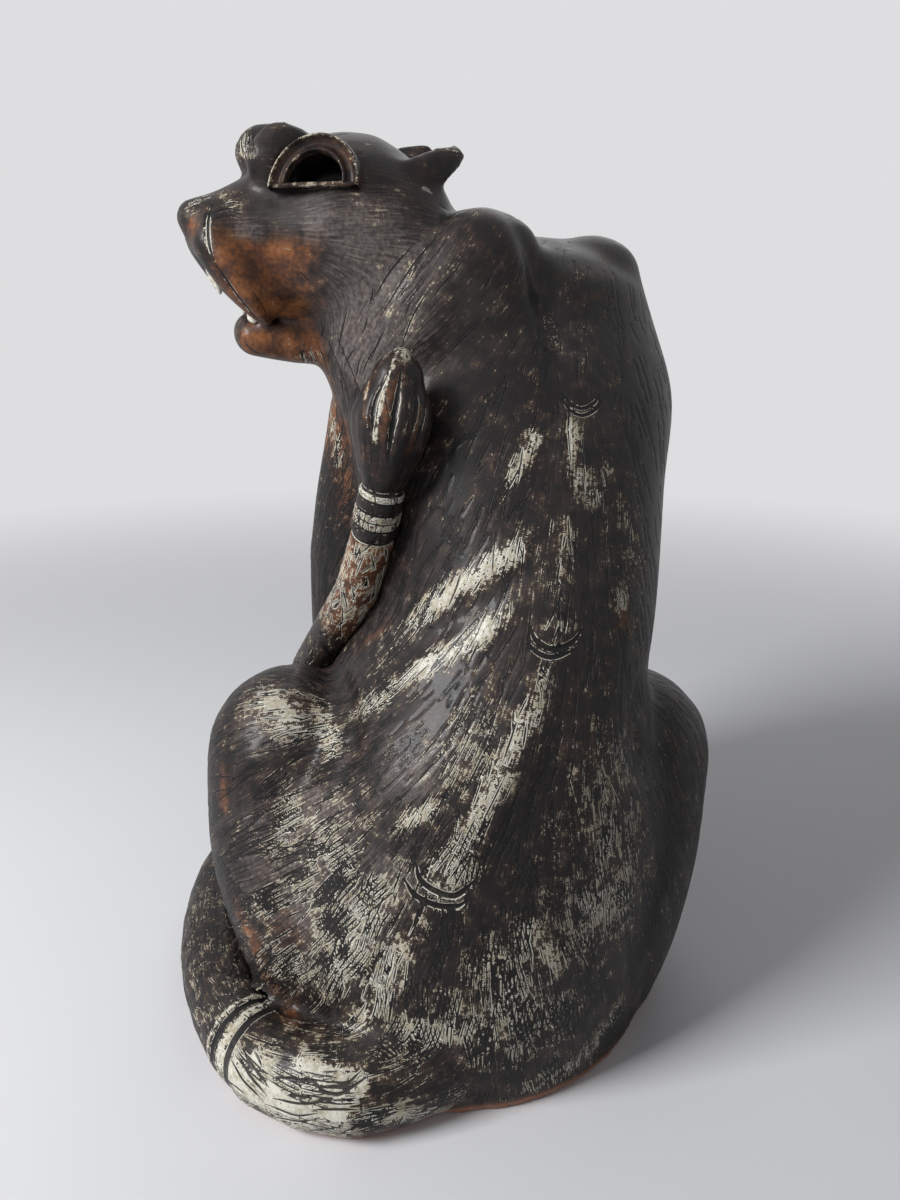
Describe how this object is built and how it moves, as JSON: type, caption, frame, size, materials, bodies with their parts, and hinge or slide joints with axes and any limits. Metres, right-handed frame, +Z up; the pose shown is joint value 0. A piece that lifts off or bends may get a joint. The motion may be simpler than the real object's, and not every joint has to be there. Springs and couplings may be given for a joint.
{
  "type": "seated big cat ornament",
  "caption": "Hollow glazed stoneware figure of a seated big cat that looks over its left shoulder, mouth open, with its tail curled round the hip and raised against the flank.",
  "frame": {"origin": "on the floor, under the middle of the figure's box", "axes": "+Z up; the cat's back faces -Y and its head is turned to -X"},
  "size_m": [0.3474, 0.4092, 0.5198],
  "materials": {
    "dark_slip": "dark iron slip under a thin satin glaze, combed with fur strokes and rubbed through to cream",
    "amber_glaze": "amber brown iron glaze, glossy",
    "cream_slip": "cream slip under a thin clear glaze, worn, with dark slip in the cuts"
  },
  "bodies": {
    "root": {"torso_shell": "dark_slip", "head_shell": "dark_slip", "eyelid_left": "cream_slip", "brow_left": "dark_slip", "ear_left": "dark_slip", "whisker_pad_left": "amber_glaze", "eyelid_right": "cream_slip", "brow_right": "dark_slip", "ear_right": "dark_slip", "whisker_pad_right": "amber_glaze", "nose_pad": "amber_glaze", "lower_jaw": "amber_glaze", "tongue": "amber_glaze", "upper_fang_left": "cream_slip", "lower_fang_left": "cream_slip", "upper_fang_right": "cream_slip", "lower_fang_right": "cream_slip", "thigh_left": "dark_slip", "thigh_right": "dark_slip", "shoulder_left": "dark_slip", "forepaw_left": "dark_slip", "foreleg_left": "dark_slip", "shoulder_right": "dark_slip", "forepaw_right": "dark_slip", "foreleg_right": "dark_slip", "hind_paw_left": "dark_slip", "hind_paw_right": "dark_slip", "tail_floor": "cream_slip", "tail_rise": "amber_glaze", "tail_tuft": "dark_slip"}
  },
  "joints": []
}
